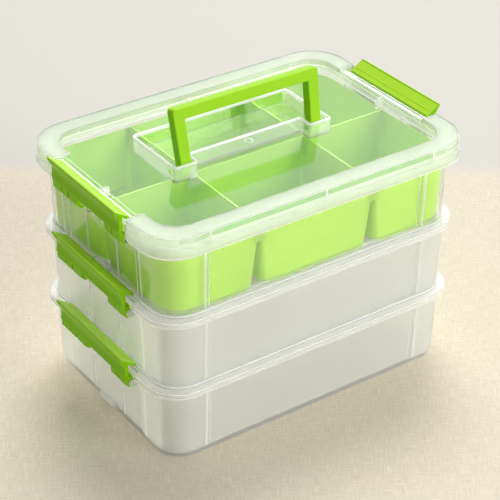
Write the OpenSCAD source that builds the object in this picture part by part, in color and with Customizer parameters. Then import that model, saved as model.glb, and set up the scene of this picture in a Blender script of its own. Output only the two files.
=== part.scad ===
// Stacking sewing box: three clear tiers held by six swing latches,
// a lid with a fold-away carry handle, and a lift-out six-cup divider tray.
// Millimetres, +Z up, X along the long side. Origin: centre of the base on the table.

/* [Tiers] */
// outside length of a tier wall
box_l = 245.4; // [220:0.2:300]
// outside width of a tier wall
box_w = 168.7; // [140:0.1:220]
// outside corner radius of a tier wall
corner_r = 22; // [14:0.5:30]
// height of a tier from its foot to its rim
tier_h = 62.4; // [50:0.2:90]
// how deep a tier's foot drops into the rim below it
nest_h = 4.8; // [3:0.1:8]
// how far the foot is set in from the wall, each side
foot_set = 3.1; // [2.6:0.1:5]
// wall thickness of the tiers
wall = 1.8; // [1.2:0.1:2.4]
// thickness of the tier floors
floor_t = 2; // [1.4:0.1:3]
// depth of the panels between the corner posts
panel_in = 1.3; // [0.6:0.1:1.6]
// half length of the long panel between the corner posts
panel_x = 91.3; // [60:0.1:96]
// half width of the end panel between the corner posts
panel_y = 46.5; // [40:0.1:54]

/* [Rim flange] */
// how far the rim flange reaches out from the end walls
flange_x = 5.1; // [3:0.1:8]
// how far the rim flange reaches out from the long walls
flange_y = 4.2; // [2:0.1:6]
// flange top below the rim
flange_drop = 2; // [1:0.1:4]
// height of the flange skirt
flange_h = 5.5; // [4:0.1:7]
// thickness of the flange
flange_t = 1.6; // [1:0.1:2.2]
// gap between each end of a latch and the flange beside it
bay_gap = 3.6; // [2.4:0.1:8]

/* [Latches] */
// half length of a latch
latch_y = 44.6; // [36:0.1:47]
// hinge rod radius
rod_r = 2; // [1.6:0.1:2.4]
// running clearance of the latch clips round the rod
rod_fit = 0.1; // [0.05:0.01:0.1]
// thickness of the rod's outer ears
ear_t = 1.5; // [1:0.1:2]
// side clearance between the ears and the latch
ear_gap = 0.8; // [0.3:0.1:1.5]
// height of the catch lug that a latch holds
lug_h = 2.6; // [2:0.1:3]
// half length of the catch lug
lug_y = 9.6; // [6:0.1:16]
// distance of the hinge rod outside the end wall
rod_out = 4.9; // [4.6:0.1:6]
// hinge rod below the rim
rod_drop = 11.2; // [9:0.1:13]
// thickness of the clips round the rod
clip_t = 2.1; // [1.5:0.1:2.2]
// how far the web's tabs hang below the hinge rod's axis
tab_down = 1.3; // [0:0.1:2]
// thickness of the latch web
web_t = 2.4; // [1.6:0.1:3]
// thickness of the finger flange
wing_t = 2; // [1.4:0.1:2.6]
// height of the flange's inner edge above the hinge rod
wing_low = 13.9; // [12:0.1:17]
// height of the flange's outer lip above the hinge rod
wing_high = 20.7; // [17:0.1:26]
// reach of the outer lip beyond the hinge rod
lip_out = 7.9; // [6:0.1:10]
// extra height of the two latches that hold the lid
lid_latch_rise = 1.5; // [0:0.1:3]
// gap between a latch's inner edge and what it closes on
latch_gap = 0.4; // [0.3:0.1:0.8]

/* [Lid] */
// height of the lid panel above the top tier's rim
panel_up = 3.4; // [2.6:0.1:6]
// thickness of the lid panel
lid_t = 2; // [1.4:0.1:2.6]
// height of the border ridge above the panel
ridge_h = 3.2; // [2:0.1:5]
// wall thickness of the ridge and the skirt
lid_wall = 1.4; // [1.2:0.1:2]
// inner length of the border ridge
ridge_l = 231.8; // [210:0.2:236]
// inner width of the border ridge
ridge_w = 153.8; // [130:0.2:158]
// how far the skirt hangs below the top tier's rim
skirt_down = 9.2; // [7.6:0.1:12]
// gap between the rim flange and the ridge's outer wall
skirt_fit = 0.3; // [0.3:0.1:1]
// height of the wide lower band of the skirt
band_h = 8.1; // [7:0.1:10]
// how far the lower band stands out from the ridge's outer wall
band_out = 1.5; // [1:0.1:3]
// corner radius inside the ridge
ridge_r = 19.2; // [12:0.1:24]

/* [Handle well] */
// half length of the well
well_x = 65; // [50:0.1:80]
// front edge of the well
well_front = 6; // [4:0.1:12]
// depth of the well from front to back
well_w = 42.5; // [38:0.1:56]
// depth of the well floor below the panel
well_d = 10.8; // [10.4:0.1:11]
// length of the front pockets that hold the handle's feet
pocket_x = 16.5; // [13:0.1:20]
// how far the pockets reach in front of the well
pocket_y = 12.5; // [11:0.1:14]
// thickness of the well's walls and floor
well_t = 1.4; // [1:0.1:1.5]

/* [Handle] */
// half width of the handle over its legs
grip_x = 59.1; // [52:0.1:62]
// width of a leg
leg_w = 8.8; // [6:0.1:12]
// thickness of the handle
leg_t = 8.5; // [6:0.1:8.6]
// corner radius at the handle's top
grip_r = 3; // [1:0.1:5]
// height of the crossbar
bar_h = 8.6; // [6:0.1:12]
// reach of the handle from its hinge to its top
grip_h = 44.3; // [38:0.1:45]
// radius of the pins the handle turns on
pin_r = 2.4; // [1.5:0.1:3]
// running clearance of the pins
pin_fit = 0.1; // [0.05:0.01:0.1]
// depth of the hinge below the panel
hinge_down = 5.6; // [5.5:0.1:5.8]
// distance of the hinge in front of the pockets' back line
hinge_back = 7.4; // [6.6:0.1:7.6]
// lean of the handle at rest, back from upright
lean = 11; // [0:1:30]

/* [Divider tray] */
// side clearance between the tray and the tier
tray_gap = 0.3; // [0.3:0.1:1]
// clearance between the tray's top and the well floor above it
tray_top_gap = 0.5; // [0.4:0.1:2]
// thickness of the tray's walls
tray_t = 1.5; // [1.2:0.1:2.2]
// clearance between the cups' lower part and the tier's foot
cup_gap = 0.5; // [0.4:0.1:1]
// half distance between the two cross dividers
divider_x = 47.7; // [30:0.1:60]
// width of a double-walled divider
divider_w = 5.4; // [5:0.1:7]
// height of the solid part of a divider
divider_solid = 13; // [8:0.5:20]
// corner radius of the cups where a slot meets the tray's outer wall
mouth_r = 4.5; // [2:0.1:5]
// how far the cups reach below the tray's shoulder
cup_drop = 1.6; // [0.8:0.1:3]

/* [Output] */
// part to draw, or all

/* [Hidden] */
$fn = 64;
eps = 0.02;
pitch = tier_h - nest_h;
rod_x = box_l / 2 + rod_out;
rod_z = tier_h - rod_drop;
clip_r = rod_r + rod_fit + clip_t;
clip_stub = 0.9;
clip_gap = 0.34;
clip_y0 = 11.2;
clip_y1 = 22.5;
clip_y2 = 24.4;
clip_cap = 1.2;
web_x = rod_r + 0.2;
bay = latch_y + bay_gap;
foot_r = corner_r - foot_set;
ledge_z = nest_h + wall;
band_z = tier_h - flange_drop - flange_h;
lug_root = box_l / 2 - panel_in - 0.4;
mid_ear_t = 3.2;
end_rib_y = 20;
end_rib_t = 1.2;
end_rib_h = 0.7;
wing_set = 0.7;
wing_in = rod_x - box_l / 2 - latch_gap - wing_set;
foot_l = box_l - 2 * foot_set;
foot_w = box_w - 2 * foot_set;
flange_l = box_l + 2 * flange_x;
flange_w = box_w + 2 * flange_y;
flange_r = corner_r + flange_y;
post_end = 2.5;
rim_z = 2 * pitch + tier_h;
top_z = rim_z + panel_up;
ridge_top = top_z + ridge_h;
skirt_z = rim_z - skirt_down;
band_top = skirt_z + band_h;
seat_in = 3;
bead_h = 0.4;
rail_h = 0.6;
rail_w = 2.4;
rail_end = 7.2;
rail_front = 3.4;
hang_x = 4;
hang_z = 7;
hang_in = 5;
hang_lap = 3;
pin_end = 0.4;
well_r = 3;
well_lap = 8;
pocket_r = 1.5;
plate_x = rod_x - wing_in - latch_gap;
up_l = flange_l + 2 * (skirt_fit + lid_wall);
up_w = flange_w + 2 * (skirt_fit + lid_wall);
up_r = flange_r + skirt_fit + lid_wall;
hinge_y = well_front - hinge_back;
hinge_z = top_z - hinge_down;
well_floor = top_z - well_d;
shoulder_z = 2 * pitch + ledge_z;
tray_l = box_l - 2 * (panel_in + wall + tray_gap);
tray_w = box_w - 2 * (panel_in + wall + tray_gap);
tray_top = well_floor - well_t - tray_top_gap;
tray_r = corner_r - wall - tray_gap - 1;
cup_in = (tray_l - foot_l) / 2 + wall + cup_gap;
cup_bottom = shoulder_z - cup_drop;
cup_r = 6;

// rounded rectangle, l along x
module plate(l, w, r) {
    square([l - 2 * r, w], center = true);
    square([l, w - 2 * r], center = true);
    for (x = [-1, 1], y = [-1, 1])
        translate([x * (l / 2 - r), y * (w / 2 - r)]) circle(r);
}

// upright block on a rounded rectangle
module block(l, w, r, z0, z1) {
    translate([0, 0, z0]) linear_extrude(z1 - z0) plate(l, w, r);
}

// tier wall outline with sunken panels, set in by d
module wall_outline(d) {
    px = panel_x;
    py = panel_y;
    hw = box_w / 2 - d;
    hl = box_l / 2 - d;
    difference() {
        plate(box_l - 2 * d, box_w - 2 * d, corner_r - d);
        for (s = [-1, 1]) {
            polygon([[-px - post_end, s * (hw + 1)], [-px - post_end, s * hw],
                [-px + post_end, s * (hw - panel_in)], [px - post_end, s * (hw - panel_in)],
                [px + post_end, s * hw], [px + post_end, s * (hw + 1)]]);
            polygon([[s * (hl + 1), -py - post_end], [s * hl, -py - post_end],
                [s * (hl - panel_in), -py + post_end], [s * (hl - panel_in), py - post_end],
                [s * hl, py + post_end], [s * (hl + 1), py + post_end]]);
        }
    }
}

// hinge rod and its ears at the +X end of a tier
module hinge_rod() {
    translate([rod_x, 0, rod_z]) rotate([90, 0, 0])
        cylinder(h = 2 * (latch_y + ear_gap + ear_t), r = rod_r, center = true);
    // ears beside the latch, between its clips and in the middle
    for (s = [-1, 1]) ear(s * (latch_y + ear_gap + ear_t / 2), ear_t);
    ear((clip_y1 + clip_y2) / 2, clip_y2 - clip_y1 - 2 * clip_gap);
    ear(0, mid_ear_t);
}

// one ear from the wall to the rod, t thick
module ear(y, t) {
    x0 = box_l / 2 - panel_in - wall / 3;
    translate([x0, y - t / 2, rod_z - rod_r]) cube([rod_x - x0, t, 2 * rod_r]);
    translate([rod_x, y, rod_z]) rotate([90, 0, 0])
        cylinder(h = t, r = rod_r + 0.8, center = true);
}

// one tier in its own frame, foot at z = 0
module tier() {
    difference() {
        union() {
            // foot that nests in the rim below
            block(foot_l, foot_w, foot_r, 0, ledge_z);
            // wall between the posts, and the plain band under the rim
            translate([0, 0, nest_h]) linear_extrude(band_z - nest_h) wall_outline(0);
            block(box_l, box_w, corner_r, band_z - eps, tier_h);
            // flange, broken at the two latch bays
            difference() {
                block(flange_l, flange_w, flange_r, band_z, tier_h - flange_drop);
                end_cuts(box_l / 2, bay);
            }
        }
        // inside of the foot, of the wall and of the rim
        block(foot_l - 2 * wall, foot_w - 2 * wall, foot_r - wall, floor_t, ledge_z + 1);
        translate([0, 0, ledge_z]) linear_extrude(band_z - ledge_z) wall_outline(wall);
        block(box_l - 2 * wall, box_w - 2 * wall, corner_r - wall, band_z - eps, tier_h + 1);
        // hollow under the flange
        difference() {
            block(flange_l - 2 * flange_t, flange_w - 2 * flange_t, flange_r - flange_t,
                band_z - 1, tier_h - flange_drop - flange_t);
            block(box_l, box_w, corner_r, band_z - 2, tier_h);
            end_cuts(box_l / 2 - 1, bay + flange_t);
        }
    }
    for (s = [-1, 1]) {
        // two ribs on each end wall
        for (y = [-end_rib_y, end_rib_y])
            translate([s * (box_l / 2 - panel_in), y, (nest_h + band_z) / 2])
                cube([2 * end_rib_h, end_rib_t, band_z - nest_h], center = true);
        // catch lug at the foot of each end wall
        translate([s * (plate_x + lug_root) / 2, 0, nest_h + lug_h / 2])
            cube([plate_x - lug_root, 2 * lug_y, lug_h], center = true);
    }
    hinge_rod();
    mirror([1, 0, 0]) hinge_rod();
}

// the space outside |x| = x0 over |y| < y1 at both ends of a tier
module end_cuts(x0, y1) {
    for (s = [-1, 1])
        translate([s * (x0 + flange_l / 2), 0, tier_h / 2])
            cube([flange_l, 2 * y1, 2 * tier_h], center = true);
}

module bottom_box() {
    color([0.86, 0.88, 0.86, 0.35]) tier();
}

module middle_box() {
    color([0.86, 0.88, 0.86, 0.35]) translate([0, 0, pitch]) tier();
}

module top_box() {
    color([0.86, 0.88, 0.86, 0.35]) translate([0, 0, 2 * pitch]) tier();
}

// well and pockets, grown outwards by g, from z0 to z1
module well(g, z0, z1) {
    translate([0, well_front + well_w / 2, 0])
        block(2 * (well_x + g), well_w + 2 * g, well_r + g, z0, z1);
    for (s = [-1, 1])
        translate([s * (well_x - pocket_x / 2), well_front + (well_lap - pocket_y) / 2, 0])
            block(pocket_x + 2 * g, well_lap + pocket_y + 2 * g, pocket_r + g, z0, z1);
}

module lid() {
    color([0.9, 0.93, 0.92, 0.35]) {
        difference() {
            union() {
                // flat panel that rests on the rim
                difference() {
                    block(2 * plate_x, box_w + 2, corner_r + 1, rim_z, top_z);
                    block(box_l - 2 * wall - 2 * seat_in, box_w - 2 * wall - 2 * seat_in,
                        corner_r - wall - seat_in / 2, rim_z - 1, top_z - lid_t);
                }
                border();
                // well walls and floor, with a bead round the mouth
                well(well_t, well_floor - well_t, top_z + bead_h);
                // rib that hangs behind each latch bay
                for (s = [-1, 1])
                    translate([s * (box_l / 2 - wall - hang_in), 0, top_z - lid_t - hang_lap])
                        cube([hang_x, lid_wall, hang_z], center = true);
            }
            well(0, well_floor, top_z + 2);
            // holes for the handle's pins
            for (s = [-1, 1])
                translate([s * (well_x + well_t / 2), hinge_y, hinge_z]) rotate([0, 90, 0])
                    cylinder(h = well_t + 4, r = pin_r + pin_fit, center = true);
        }
        // low rails on the well floor, under the folded legs
        for (s = [-1, 1])
            translate([s * (grip_x - leg_w / 2), well_front + well_w / 2 - rail_front,
                well_floor + rail_h / 2 - eps])
                cube([rail_w, well_w - 2 * rail_end, rail_h], center = true);
    }
}

// hollow border of the lid: ridge, outer wall and the wide band below
module border() {
    out = 2 * band_out;
    difference() {
        union() {
            block(up_l, up_w, up_r, band_top - lid_wall, ridge_top);
            block(up_l + out, up_w + out, up_r + band_out, skirt_z, band_top);
        }
        // inside the ridge, down to the skirt's edge
        block(ridge_l, ridge_w, ridge_r, skirt_z - 1, ridge_top + 1);
        // hollow of the ridge
        difference() {
            block(up_l - 2 * lid_wall, up_w - 2 * lid_wall, up_r - lid_wall,
                skirt_z - 1, ridge_top - lid_wall);
            block(ridge_l + 2 * lid_wall, ridge_w + 2 * lid_wall, ridge_r + lid_wall,
                top_z - eps, ridge_top);
            bays(lid_wall);
        }
        // hollow of the band
        difference() {
            block(up_l + out - 2 * lid_wall, up_w + out - 2 * lid_wall,
                up_r + band_out - lid_wall, skirt_z - 1, band_top - lid_wall);
            bays(lid_wall);
        }
        bays(0);
        // room for the rim and the flange of the tier below
        block(flange_l + 2 * skirt_fit, flange_w + 2 * skirt_fit, flange_r + skirt_fit, skirt_z - 1, rim_z);
    }
}

// space over both latch bays, grown by d at each side
module bays(d) {
    for (s = [-1, 1]) {
        translate([s * (plate_x + flange_l / 2), 0, rim_z])
            cube([flange_l, 2 * (bay + d), tier_h], center = true);
        translate([s * plate_x, 0, top_z + ridge_h])
            cube([plate_x - ridge_l / 2 + 10, 2 * (bay + d), 2 * ridge_h], center = true);
    }
}

module carry_handle() {
    grip_in = grip_x - leg_w;
    pin_l = well_x + well_t + pin_end - grip_x;
    color([0.59, 0.86, 0.16]) translate([0, hinge_y, hinge_z]) rotate([-lean, 0, 0]) {
        // frame with rounded top corners
        translate([0, leg_t / 2, 0]) rotate([90, 0, 0]) linear_extrude(leg_t) difference() {
            union() {
                translate([-grip_x, 0]) square([2 * grip_x, grip_h - grip_r]);
                translate([-grip_x + grip_r, 0]) square([2 * (grip_x - grip_r), grip_h]);
                for (s = [-1, 1]) translate([s * (grip_x - grip_r), grip_h - grip_r]) circle(grip_r);
            }
            translate([-grip_in, -1]) square([2 * grip_in, grip_h - bar_h + 1]);
        }
        // round feet and pins
        for (s = [-1, 1]) {
            translate([s * (grip_x - leg_w / 2), 0, 0]) rotate([0, 90, 0])
                cylinder(h = leg_w, r = leg_t / 2, center = true);
            translate([s * (grip_x + pin_l / 2 - eps), 0, 0]) rotate([0, 90, 0])
                cylinder(h = pin_l + eps, r = pin_r, center = true);
        }
    }
}

// one cup of the tray over x0..x1 and y0..y1, wide above and narrower below
module cup(x0, x1, y0, y1) {
    translate([(x0 + x1) / 2, (y0 + y1) / 2, 0]) {
        block(x1 - x0, y1 - y0, cup_r, shoulder_z + tray_t, tray_top + 1);
        block(x1 - x0 - 2 * cup_in, y1 - y0 - 2 * cup_in, cup_r - 1, cup_bottom + tray_t, tray_top);
    }
}

// arched opening along x, l long, w wide at its top and foot wide at the cups' feet
module arch(l, w, foot) {
    top = tray_top - divider_solid - w / 2;
    rotate([90, 0, 90]) linear_extrude(l, center = true) {
        polygon([[-foot / 2, cup_bottom - 1], [foot / 2, cup_bottom - 1], [w / 2, top], [-w / 2, top]]);
        translate([0, top]) circle(w / 2);
    }
}

// open slot under a divider, wider at the cups' feet
module slot(l, w) {
    arch(l, w, w);
    translate([-l / 2, -w / 2 - cup_in, cup_bottom - 1]) cube([l, w + 2 * cup_in, cup_drop + 1]);
}

// mouth of a slot at the tray's outer wall, between two rounded cup corners, wall at x = 0
module mouth(w) {
    intersection() {
        translate([0, 0, cup_bottom - 1]) linear_extrude(tray_top - cup_bottom) difference() {
            translate([-mouth_r, -w / 2 - mouth_r]) square([mouth_r + 1, w + 2 * mouth_r]);
            for (s = [-1, 1]) translate([-mouth_r, s * (w / 2 + mouth_r)]) circle(mouth_r);
        }
        arch(4 * mouth_r, w + mouth_r / 2, w + 2 * mouth_r);
    }
}

module divider_tray() {
    xi = tray_l / 2 - tray_t;
    yi = tray_w / 2 - tray_t;
    dw = divider_w / 2;
    slot_w = divider_w - 2 * tray_t;
    color([0.69, 0.88, 0.42]) difference() {
        union() {
            block(tray_l, tray_w, tray_r, shoulder_z, tray_top);
            block(tray_l - 2 * cup_in, tray_w - 2 * cup_in, foot_r - wall - cup_gap,
                cup_bottom, shoulder_z + eps);
        }
        // six cups
        for (y = [[-yi, -dw], [dw, yi]]) {
            cup(-xi, -divider_x - dw, y[0], y[1]);
            cup(-divider_x + dw, divider_x - dw, y[0], y[1]);
            cup(divider_x + dw, xi, y[0], y[1]);
        }
        // slots under the cross dividers and between them
        for (s = [-1, 1]) {
            translate([s * divider_x, 0, 0]) rotate(90) slot(tray_w + 2, slot_w);
            for (t = [-1, 1]) translate([s * divider_x, t * tray_w / 2, 0]) rotate(t * 90) mouth(slot_w);
            translate([s * (divider_x + dw + xi) / 2, 0, 0])
                slot(xi - divider_x - dw - 2 * cup_r, slot_w);
        }
        slot(2 * (divider_x - dw - cup_r), slot_w);
    }
}

// C-shaped clip round the rod from y0 to y1, open towards the wall, with a stub on top
module clip(y0, y1) {
    w = y1 - y0;
    translate([0, (y0 + y1) / 2, 0]) rotate([90, 0, 0]) difference() {
        union() {
            cylinder(h = w, r = clip_r, center = true);
            translate([-clip_stub, 0, -w / 2]) cube([2 * clip_stub, clip_r + clip_cap, w]);
        }
        cylinder(h = w + 2, r = rod_r + rod_fit, center = true);
        translate([-clip_r - 1, -clip_stub, -w / 2 - 1])
            cube([clip_r + 1 - clip_stub, clip_r + 4, w + 2]);
    }
}

// latch for the +X end, with the hinge rod at its origin
module latch(rise) {
    wl = wing_low + rise;
    wh = wing_high + rise;
    slope = (wh - wl) / (lip_out + wing_in);
    edge = wing_t * 0.4;
    web_out = web_x + web_t;
    // finger flange and web as one profile
    translate([0, latch_y, 0]) rotate([90, 0, 0]) linear_extrude(2 * latch_y)
        polygon([[-wing_in, wl], [-wing_in, wl - wing_t + edge], [-wing_in + edge, wl - wing_t],
            [web_x, wl - wing_t + slope * (web_x + wing_in)], [web_x, clip_r], [web_out, clip_r],
            [web_out, wh - wing_t - slope * (lip_out - web_out)],
            [lip_out, wh - wing_t], [lip_out, wh], [lip_out - edge, wh]]);
    // web of the deep tabs at both ends and of the inner clip
    for (y = [[-latch_y, -clip_y2], [clip_y2, latch_y], [clip_y0, clip_y1]]) {
        translate([web_x, y[0], -tab_down]) cube([web_t, y[1] - y[0], clip_r + tab_down + eps]);
        clip(y[0], y[1]);
    }
}

module latch_right_lower() {
    color([0.55, 0.8, 0.12]) translate([rod_x, 0, rod_z]) latch(0);
}

module latch_left_lower() {
    color([0.55, 0.8, 0.12]) mirror([1, 0, 0]) translate([rod_x, 0, rod_z]) latch(0);
}

module latch_right_middle() {
    color([0.55, 0.8, 0.12]) translate([rod_x, 0, rod_z + pitch]) latch(0);
}

module latch_left_middle() {
    color([0.55, 0.8, 0.12]) mirror([1, 0, 0]) translate([rod_x, 0, rod_z + pitch]) latch(0);
}

module latch_right_upper() {
    color([0.55, 0.8, 0.12]) translate([rod_x, 0, rod_z + 2 * pitch]) latch(lid_latch_rise);
}

module latch_left_upper() {
    color([0.55, 0.8, 0.12]) mirror([1, 0, 0])
        translate([rod_x, 0, rod_z + 2 * pitch]) latch(lid_latch_rise);
}

bottom_box();
middle_box();
top_box();
lid();
carry_handle();
divider_tray();
latch_left_lower();
latch_right_lower();
latch_left_middle();
latch_right_middle();
latch_left_upper();
latch_right_upper();
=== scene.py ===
import math
import bmesh
import bpy
from mathutils import Matrix, Vector


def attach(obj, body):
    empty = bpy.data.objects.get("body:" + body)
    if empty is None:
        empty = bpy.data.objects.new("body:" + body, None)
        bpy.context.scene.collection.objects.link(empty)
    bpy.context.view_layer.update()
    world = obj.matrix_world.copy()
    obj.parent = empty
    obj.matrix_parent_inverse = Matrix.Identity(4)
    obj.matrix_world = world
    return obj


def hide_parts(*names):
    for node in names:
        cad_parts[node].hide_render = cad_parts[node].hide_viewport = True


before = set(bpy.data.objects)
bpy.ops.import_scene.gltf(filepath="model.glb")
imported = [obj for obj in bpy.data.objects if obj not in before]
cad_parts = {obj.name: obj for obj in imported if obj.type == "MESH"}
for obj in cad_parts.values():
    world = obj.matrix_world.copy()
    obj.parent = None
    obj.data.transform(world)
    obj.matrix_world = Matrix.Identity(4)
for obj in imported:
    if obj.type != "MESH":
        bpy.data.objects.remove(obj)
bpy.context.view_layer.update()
mm = 0.001


def lin(r, g, b):  # a screen colour, 0 to 255, as the shader's linear colour
    return tuple(((c / 255 + 0.055) / 1.055) ** 2.4 for c in (r, g, b))


viewSet = {
    "azimuth": -35.04,
    "elevation": 32.34,
    "roll": 0.49,
    "lens": 119.81,
    "place": (-0.58530, -0.83988, 0.73717),
    "shiftX": -0.00502,
    "shiftY": 0.00088,
    "clipEnd": 20,
}


def addCamera():
    az, el, roll = (math.radians(viewSet[k]) for k in ("azimuth", "elevation", "roll"))
    back = Vector((math.sin(az) * math.cos(el), -math.cos(az) * math.cos(el), math.sin(el)))
    side = (-back).cross(Vector((0, 0, 1))).normalized()
    up = side.cross(-back)
    turnedSide = side * math.cos(roll) + up * math.sin(roll)
    turnedUp = -side * math.sin(roll) + up * math.cos(roll)
    camera = bpy.data.objects.new("camera", bpy.data.cameras.new("camera"))
    bpy.context.scene.collection.objects.link(camera)
    placed = Matrix((turnedSide, turnedUp, back)).transposed().to_4x4()
    placed.translation = Vector(viewSet["place"])
    camera.matrix_world = placed
    camera.data.lens = viewSet["lens"]
    camera.data.shift_x = viewSet["shiftX"]
    camera.data.shift_y = viewSet["shiftY"]
    camera.data.clip_end = viewSet["clipEnd"]
    bpy.context.scene.camera = camera


def newGroup(name, inputs, outputs):
    group = bpy.data.node_groups.new(name, "ShaderNodeTree")
    for label, kind, value in inputs:
        socket = group.interface.new_socket(name=label, in_out="INPUT", socket_type=kind)
        if value is not None:
            socket.default_value = value
    for label, kind in outputs:
        group.interface.new_socket(name=label, in_out="OUTPUT", socket_type=kind)
    start = group.nodes.new("NodeGroupInput")
    end = group.nodes.new("NodeGroupOutput")
    return group, start, end


def addNode(tree, kind, **values):
    node = tree.nodes.new(kind)
    for key, value in values.items():
        setattr(node, key, value)
    return node


def setInputs(node, values):
    for label, value in values.items():
        node.inputs[label].default_value = value


def mixNumbers(tree, factor, low, high):
    node = addNode(tree, "ShaderNodeMapRange")
    tree.links.new(factor, node.inputs["Value"])
    for label, value in (("To Min", low), ("To Max", high)):
        if isinstance(value, (int, float)):
            node.inputs[label].default_value = value
        else:
            tree.links.new(value, node.inputs[label])
    return node.outputs["Result"]


def mixColors(tree, factor, low, high):
    node = addNode(tree, "ShaderNodeMix", data_type="RGBA")
    tree.links.new(factor, node.inputs["Factor"])
    for label, value in ((6, low), (7, high)):  # the colour sockets A and B
        if isinstance(value, tuple):
            node.inputs[label].default_value = (*value[:3], 1)
        else:
            tree.links.new(value, node.inputs[label])
    return node.outputs[2]


def makeGrainGroup():
    # fine mould texture and slow cloudy drift, for every moulded plastic
    group, start, end = newGroup(
        "mouldGrain",
        [("Vector", "NodeSocketVector", None), ("Grain Size", "NodeSocketFloat", 900.0),
         ("Cloud Size", "NodeSocketFloat", 18.0), ("Rough Low", "NodeSocketFloat", 0.2),
         ("Rough High", "NodeSocketFloat", 0.3)],
        [("Cloud", "NodeSocketFloat"), ("Roughness", "NodeSocketFloat"), ("Height", "NodeSocketFloat")])
    grain = addNode(group, "ShaderNodeTexNoise")
    grain.inputs["Detail"].default_value = 3
    cloud = addNode(group, "ShaderNodeTexNoise")
    cloud.inputs["Detail"].default_value = 2
    group.links.new(start.outputs["Vector"], grain.inputs["Vector"])
    group.links.new(start.outputs["Vector"], cloud.inputs["Vector"])
    group.links.new(start.outputs["Grain Size"], grain.inputs["Scale"])
    group.links.new(start.outputs["Cloud Size"], cloud.inputs["Scale"])
    rough = mixNumbers(group, cloud.outputs["Fac"], start.outputs["Rough Low"], start.outputs["Rough High"])
    group.links.new(cloud.outputs["Fac"], end.inputs["Cloud"])
    group.links.new(rough, end.inputs["Roughness"])
    group.links.new(grain.outputs["Fac"], end.inputs["Height"])
    return group


grainGroup = makeGrainGroup()

plasticSet = {
    "index": 1.49,
    "grainBump": 0.25,
    "clearGrain": {"Grain Size": 600.0, "Cloud Size": 14.0},
    "clearRadius": (1.0, 1.0, 0.9),      # how far red, green and blue scatter
    "clearDepth": 0.006,
    "paintedGlowColor": (0.97, 1.0, 0.84, 1),   # colour of the painted glow, an emission that stands in for light carried along inside a wall
    "solidGrain": {"Grain Size": 1100.0, "Cloud Size": 18.0},
    "solidHeight": 0.03,
    "solidRadius": (0.8, 1.0, 0.4),
    "solidDepth": 0.005,
}


def startMaterial(name):
    material = bpy.data.materials.new(name)
    material.use_nodes = True
    tree = material.node_tree
    return material, tree, tree.nodes["Principled BSDF"]


def addGrain(tree, shader, rough, sizes, height):
    where = addNode(tree, "ShaderNodeTexCoord")
    grain = addNode(tree, "ShaderNodeGroup", node_tree=grainGroup)
    setInputs(grain, {**sizes, "Rough Low": rough[0], "Rough High": rough[1]})
    tree.links.new(where.outputs["Object"], grain.inputs["Vector"])
    tree.links.new(grain.outputs["Roughness"], shader.inputs["Roughness"])
    bump = addNode(tree, "ShaderNodeBump")
    setInputs(bump, {"Strength": plasticSet["grainBump"], "Distance": height * mm})
    tree.links.new(grain.outputs["Height"], bump.inputs["Height"])
    tree.links.new(bump.outputs["Normal"], shader.inputs["Normal"])
    return grain


def clearPlastic(name, tint, drift, through, rough, shade, height=0.01, scatter=1.0, paintedGlow=0.0):
    # clear to milky: through is how much light passes, and shade how dark the plastic's shadow is; the glow
    # is painted light, an emission that brightens the plastic
    material, tree, shader = startMaterial(name)
    grain = addGrain(tree, shader, rough, plasticSet["clearGrain"], height)
    tree.links.new(mixColors(tree, grain.outputs["Cloud"], tint, drift), shader.inputs["Base Color"])
    setInputs(shader, {"Transmission Weight": through, "IOR": plasticSet["index"],
                       "Subsurface Weight": scatter, "Subsurface Radius": plasticSet["clearRadius"],
                       "Subsurface Scale": plasticSet["clearDepth"],
                       "Emission Color": plasticSet["paintedGlowColor"], "Emission Strength": paintedGlow})
    path = addNode(tree, "ShaderNodeLightPath")
    tree.links.new(mixNumbers(tree, path.outputs["Is Shadow Ray"], 1.0, shade), shader.inputs["Alpha"])
    return material


def solidPlastic(name, tint, drift, rough, shine, scatter=0.0):
    material, tree, shader = startMaterial(name)
    grain = addGrain(tree, shader, rough, plasticSet["solidGrain"], plasticSet["solidHeight"])
    tree.links.new(mixColors(tree, grain.outputs["Cloud"], tint, drift), shader.inputs["Base Color"])
    setInputs(shader, {"Specular IOR Level": shine, "Subsurface Weight": scatter,
                       "Subsurface Radius": plasticSet["solidRadius"],
                       "Subsurface Scale": plasticSet["solidDepth"]})
    return material


def fadeOut(material, start, stop, tint):
    # towards the object's ends the finish goes over into another tint
    tree = material.node_tree
    split = addNode(tree, "ShaderNodeSeparateXYZ")
    tree.links.new(addNode(tree, "ShaderNodeTexCoord").outputs["Object"], split.inputs["Vector"])
    out = addNode(tree, "ShaderNodeMath", operation="ABSOLUTE")
    tree.links.new(split.outputs["X"], out.inputs[0])
    share = addNode(tree, "ShaderNodeMapRange", interpolation_type="SMOOTHSTEP")
    setInputs(share, {"From Min": start * mm, "From Max": stop * mm})
    tree.links.new(out.outputs[0], share.inputs["Value"])
    color = tree.nodes["Principled BSDF"].inputs["Base Color"]
    tree.links.new(mixColors(tree, share.outputs["Result"], color.links[0].from_socket, tint), color)


# every glow below is painted light: an emission that stands in for light carried inside the plastic
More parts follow.
